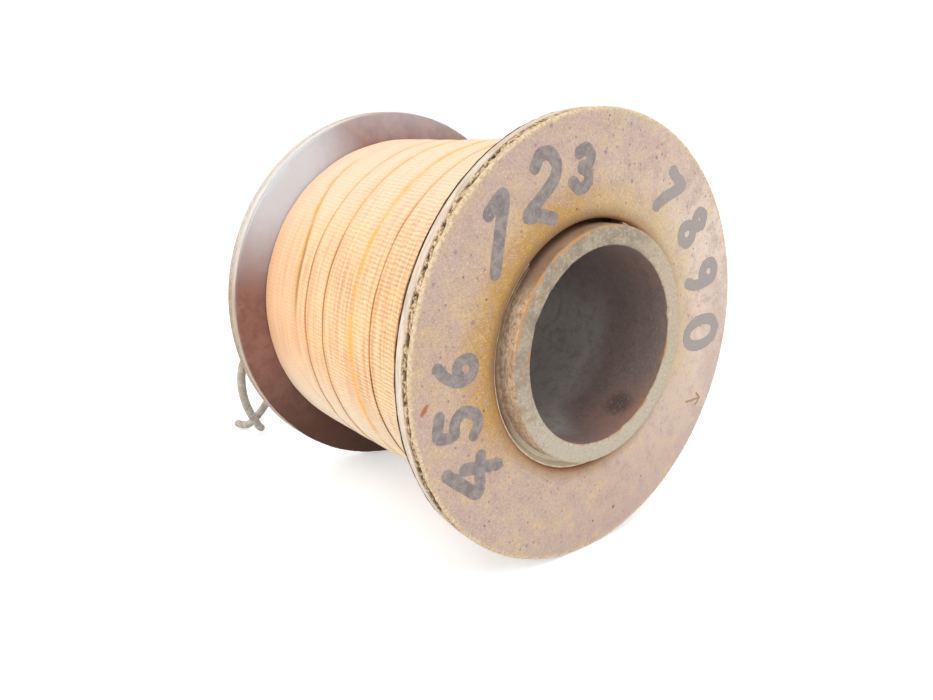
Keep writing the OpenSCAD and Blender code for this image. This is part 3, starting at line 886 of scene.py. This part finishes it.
def tape_marks(angles, y):
    """Creases in the tape with their golden stains and painted shade along them, at each angle and place
    along it.
    """
    degrees = np.degrees(angles) % 360
    depth = y - FRONT_Y
    # A crease near the rear that runs slantwise and dies away at both ends
    crease_y = 43.0 + 3.8 * smooth_step(160, 125, degrees)
    crease = smooth_step(112, 128, degrees) * smooth_step(184, 168, degrees)
    wide = crease * bell(depth - crease_y, 0.75)
    crease = crease * bell(depth - crease_y, 0.35 + 0.15 * smooth_step(140, 165, degrees))
    # A lifted edge at the lower left
    edge_y = 45.8 - 0.3 * (degrees - 198)
    slant = smooth_step(194, 204, degrees) * smooth_step(224, 214, degrees)
    ahead = depth - edge_y
    fold = 0.12 * slant * bell(ahead + 0.6, 0.8) - 0.2 * crease - 0.08 * slant * bell(ahead - 0.2, 0.3)
    # Painted shade in the crease and under the lifted edge
    crease_shade = crease * (0.45 + 0.3 * smooth_step(140, 158, degrees)) + 0.35 * slant * bell(ahead - 0.2, 0.25)
    return fold, np.maximum(np.minimum(1.3 * wide, 1), 0.25 * slant * bell(ahead, 0.5)), crease_shade


build_tape()


# ------------ leads and bushings

def smooth_route(points, steps):
    """A smooth curve through the points, in that many steps between each pair."""
    points = np.array(points, float)
    ends = [2 * points[0] - points[1], *points, 2 * points[-1] - points[-2]]
    curve = []
    for a, b, c, d in zip(ends, ends[1:], ends[2:], ends[3:]):
        for t in np.arange(steps) / steps:
            curve.append(0.5 * (2 * b + (c - a) * t + (2 * a - 5 * b + 4 * c - d) * t * t
                                + (3 * b - a - 3 * c + d) * t ** 3))
    return np.array(curve + [points[-1]])


def build_lead(which, material):
    """A lead as a tube with a slightly uneven skin, cut off square at its far end."""
    x, z = lead_place(which)
    exit_y = REAR_Y + FIT + BUSHING_HEAD_T
    path = smooth_route([(x, exit_y, z), *LEAD_ROUTES[which]], 4)
    ahead = np.gradient(path, axis=0)
    ahead /= np.linalg.norm(ahead, axis=1)[:, None]
    side = np.cross(ahead, [1, 0, 0])
    side /= np.linalg.norm(side, axis=1)[:, None]
    rise = np.cross(side, ahead)
    turn = full_turn(20)
    ring = np.cos(turn)[None, :, None] * side[:, None] + np.sin(turn)[None, :, None] * rise[:, None]
    rough = noise_on(path[:, None] + ring * LEAD_D / 2, 0.9, 61)
    points = path[:, None] + ring * (LEAD_D / 2 * (1 - 0.035 * (1 + rough)))[..., None]
    # At the cut end the insulation surrounds the metal, which stands out a little
    metal = path[-1] + ring[-1] * LEAD_D * 0.27
    points = np.concatenate([points, [metal, metal + ahead[-1] * 0.12]])
    core = np.zeros(points.shape[:2])
    core[-2:] = 1
    piece = add_piece(which + "_lead_wire", points, capped_faces(*core.shape), material,
                      [which + "_lead"], {"core": core})


def build_bushing(which, material):
    """A rubber bushing: a shank through the flange and a soft rounded head outside it."""
    x, z = lead_place(which)
    inner, shank, head = SLEEVE_D / 2 + FIT, BUSHING_D / 2, BUSHING_HEAD_D / 2
    low, foot, top = REAR_Y - FLANGE_T, REAR_Y + FIT, REAR_Y + FIT + BUSHING_HEAD_T
    bend = np.linspace(0, math.pi / 2, 6)
    soft = 0.5
    outline = [(inner, low + 0.1), (inner + 0.1, low), (shank - 0.1, low), (shank, low + 0.1),
               (shank, foot - 0.02), (shank + 0.05, foot), (head - 0.15, foot), (head, foot + 0.15)]
    outline += [(head - soft * (1 - math.cos(a)), top - soft * (1 - math.sin(a))) for a in bend]
    outline += [(inner + 0.15, top - 0.02), (inner, top - 0.15)]
    outline = np.array(outline)
    turn = full_turn(72)[:, None]
    points = around(turn, outline[None, :, 0], outline[None, :, 1]) + [x, 0, z]
    add_piece(which + "_bushing_rubber", points, grid_faces(len(turn), len(outline)), material,
              [which + "_bushing"], crease=50)


lead_insulation = rubber_finish("lead_insulation", (158, 147, 134), (198, 188, 170),
                                (186, 122, 78))
bushing_rubber = rubber_finish("bushing_rubber", (56, 44, 38), (82, 68, 58))
for which in LEAD_ANGLES:
    build_lead(which, lead_insulation)
    build_bushing(which, bushing_rubber)


# ------------ pieces kept from the frame

KEPT_NODES = [
    (paper_finish(), ("core_paper", "layer_paper", "wrap_paper")),
    (wire_finish("enamelled_wire", (128, 64, 30), (176, 100, 52), 0.35),
     ("inner_wire_layers", "outer_wire_layers")),
    (wire_finish("bare_wire", (184, 116, 74), (214, 148, 104), 0), ("start_wire", "finish_wire")),
    (sleeving_finish(), ("start_splice", "finish_splice")),
    (underlap_finish(), ("tape_underlap",)),
]
for material, nodes in KEPT_NODES:
    for node in nodes:
        mesh = frame["nodes"][node].data
        mesh.materials.clear()
        mesh.materials.append(material)


# ------------ marks on the front face

INK_CELL = 0.16
INK_RISE = 0.03

# Plain figures as pen strokes, in hundredths of a box that is 100 high and about 60 wide
FIGURES = {
    "0": [[(30, 100), (10, 86), (2, 50), (10, 14), (30, 0), (50, 14), (58, 50), (50, 86), (30, 100)]],
    "1": [[(12, 76), (34, 100), (34, 50), (32, 0)]],
    "2": [[(6, 76), (14, 95), (34, 100), (52, 86), (50, 62), (28, 32), (4, 2), (30, 5), (60, 2)]],
    "3": [[(6, 86), (28, 100), (50, 88), (46, 64), (26, 53), (50, 44), (56, 20), (32, 0), (4, 12)]],
    "4": [[(42, 100), (20, 68), (2, 36), (34, 35), (64, 37)], [(46, 66), (45, 30), (44, 0)]],
    "5": [[(54, 98), (14, 97), (12, 60), (36, 60), (56, 42), (50, 12), (26, 0), (4, 10)]],
    "6": [[(44, 100), (20, 76), (6, 40), (12, 10), (34, 0), (54, 14), (50, 40), (30, 48), (12, 34)]],
    "7": [[(4, 95), (30, 97), (58, 98), (42, 60), (28, 30), (22, 0)]],
    "8": [[(46, 86), (28, 100), (10, 84), (24, 58), (48, 38), (50, 12), (28, 0), (8, 14), (14, 38),
          (36, 58), (46, 86)]],
    "9": [[(48, 72), (30, 54), (10, 66), (10, 90), (30, 100), (48, 88), (48, 50), (42, 20), (30, 0)]],
}


def draw_strokes(name, strokes, half, cell, rise, material, ragged=0.1):
    """Pen strokes as one thin sheet of small cells on the front face, with smooth but ragged edges.

    half is half a stroke's width and rise is how far the sheet stands off the face.
    """
    lines = [smooth_route(line, 8) for line in strokes]
    spread = half + 3 * cell
    corners = np.concatenate(lines)
    low, high = corners.min(0) - spread, corners.max(0) + spread
    x, z = [low[k] + np.arange(int((high[k] - low[k]) / cell) + 2) * cell for k in (0, 1)]
    grid = np.stack(np.meshgrid(x, z, indexing="ij"), -1)
    face = np.insert(grid, 1, 0, axis=-1)
    # How far each place lies outside the nearest stroke
    gap = np.full(grid.shape[:-1], 1e9)
    for line in lines:
        for a, b in zip(line, line[1:]):
            run = b - a
            share = np.clip(((grid - a) @ run) / max(run @ run, 1e-9), 0, 1)
            away = np.linalg.norm(grid - a - share[..., None] * run, axis=-1)
            gap = np.minimum(gap, away - half)
    if ragged:
        gap += ragged * (0.7 * noise_on(face, 0.8, 71) + 0.8 * noise_on(face, 2.5, 72))
    inside = gap < 0.35 * cell
    keep = inside[:-1, :-1] & inside[1:, :-1] & inside[:-1, 1:] & inside[1:, 1:]
    padded = np.pad(keep, 1)
    around_it = [padded[1:, 1:], padded[:-1, 1:], padded[1:, :-1], padded[:-1, :-1]]
    used = np.any(around_it, axis=0)
    rim = used & ~np.all(around_it, axis=0)
    slope = np.stack(np.gradient(gap, cell), -1)
    slope /= np.maximum(np.linalg.norm(slope, axis=-1, keepdims=True), 1e-6)
    grid = grid - np.where(rim, np.clip(gap, -cell, cell), 0)[..., None] * slope
    number = np.cumsum(used.ravel()).reshape(used.shape) - 1
    top = np.insert(grid[used], 1, FRONT_Y - rise, axis=1)
    bottom = top + [0, rise + SKIN, 0]
    count = len(top)
    quads = [(number[i, j], number[i + 1, j], number[i + 1, j + 1], number[i, j + 1])
             for i, j in zip(*np.nonzero(keep))]
    # Its sides stand where an edge has a quad on one side alone
    edges = {edge: None for quad in quads for edge in zip(quad, quad[1:] + quad[:1])}
    faces = quads + [tuple(count + q for q in reversed(quad)) for quad in quads]
    faces += [(b, a, count + a, count + b) for a, b in edges if (b, a) not in edges]
    add_piece(name, np.concatenate([top, bottom]), faces, material, crease=80)


# Where each figure is written: its centre (x, z), its height, its slant and half its stroke's width
WRITTEN = [
    ("1", (-20.9, 19.0), 10.4, -6, 1.05), ("2", (-12.4, 25.1), 9.0, -8, 1.0),
    ("3", (-4.6, 27.2), 5.8, -12, 0.95), ("4", (-25.2, -15.6), 9.4, 84, 0.98),
    ("5", (-27.7, -7.0), 7.2, 86, 0.9), ("6", (-28.1, 1.0), 6.4, 88, 0.85),
    ("7", (15.7, 22.8), 6.6, -46, 1.0), ("8", (23.2, 16.6), 6.8, -58, 0.95),
    ("9", (26.8, 7.8), 7.6, -76, 1.0), ("0", (28.2, -2.6), 8.6, -86, 1.0),
]

ink = ink_finish()
for figure, centre, height, slant, half in WRITTEN:
    cos, sin = math.cos(math.radians(slant)), math.sin(math.radians(slant))
    turn = np.array([[cos, sin], [-sin, cos]]) * height / 100
    draw_strokes("ink_figure_" + figure, [(line - np.array([30, 50])) @ turn + centre
                                          for line in FIGURES[figure]], half, INK_CELL, INK_RISE, ink)

# A small stamped arrow
ARROW_AT = (27.4, -15.4)
ARROW = [[(-2.0, 0), (0, 0), (2.0, 0)], [(0.9, 1.1), (1.5, 0.5), (2.0, 0)],
         [(0.9, -1.1), (1.5, -0.5), (2.0, 0)]]
draw_strokes("stamped_arrow", [line + np.array(ARROW_AT) for line in ARROW], 0.2, 0.07, 0.02,
             stamp_finish(), ragged=0)


# ------------ floor, light and camera

FLOOR_SIZE = 4
FLOOR_COLOUR = (0.8, 0.83, 0.86, 1)
# What the camera sees the floor give off, and the sky's light on the object
FLOOR_GLOW = 0.42
SKY_LIGHT = 0.92
LAMPS = [
    # Name, place in metres, size in metres and watts
    ("key_lamp", (-0.35, -0.35, 0.75), 0.7, 2.0),
    ("fill_lamp", (0.6, -0.5, 0.45), 0.6, 0.8),
    ("side_lamp", (-0.75, -0.1, 0.3), 0.5, 1.2),
]


def build_floor():
    """A plain pale floor, which the camera sees as white but for the object's shadow."""
    bpy.ops.mesh.primitive_plane_add(size=FLOOR_SIZE, location=(0, 0, -FLANGE_R * MM))
    floor = bpy.context.object
    floor.name = "floor"
    material = bpy.data.materials.new("floor")
    material.use_nodes = True
    material.node_tree.nodes.clear()
    made = Nodes(material.node_tree)
    matt = made.node("BsdfDiffuse", {"Color": FLOOR_COLOUR})
    glow = made.node("Emission", {"Strength": made.seen_directly() * FLOOR_GLOW})
    both = made.node("AddShader", {0: matt, 1: glow})
    made.fill(made.tree.nodes.new("ShaderNodeOutputMaterial"), {0: both})
    floor.data.materials.append(material)


def light_scene():
    """An even white sky with soft lamps."""
    world = bpy.data.worlds.new("studio")
    bpy.context.scene.world = world
    world.use_nodes = True
    made = Nodes(world.node_tree)
    strength = made.node("MapRange", {
        "Value": made.seen_directly(), "To Min": SKY_LIGHT, "To Max": 1.0})
    made.fill(made.tree.nodes["Background"], {"Color": (1, 1, 1, 1), "Strength": strength})
    for name, place, size, watts in LAMPS:
        lamp = bpy.data.lights.new(name, "AREA")
        lamp.shape, lamp.size, lamp.energy = "DISK", size, watts
        holder = bpy.data.objects.new(name, lamp)
        holder.location = place
        holder.rotation_mode = "QUATERNION"
        holder.rotation_quaternion = (-Vector(place)).to_track_quat("-Z", "Y")
        bpy.context.scene.collection.objects.link(holder)


CAMERA_AT = (-89.95, -108.79, 32.94)
CAMERA_AZIMUTH = -38.8
CAMERA_ELEVATION = 16.0
CAMERA_LENS = 29.9


def set_camera():
    """A camera at the photograph's own place, level and with no shift."""
    data = bpy.data.cameras.new("camera")
    data.lens = CAMERA_LENS
    data.sensor_width = 36
    data.clip_start = 0.01
    camera = bpy.data.objects.new("camera", data)
    camera.matrix_world = (Matrix.Translation(Vector(CAMERA_AT) * MM)
                           @ Matrix.Rotation(math.radians(CAMERA_AZIMUTH), 4, "Z")
                           @ Matrix.Rotation(math.radians(90 - CAMERA_ELEVATION), 4, "X"))
    bpy.context.scene.collection.objects.link(camera)
    bpy.context.scene.camera = camera


set_camera()
build_floor()
light_scene()
bpy.context.scene.view_settings.view_transform = "Standard"
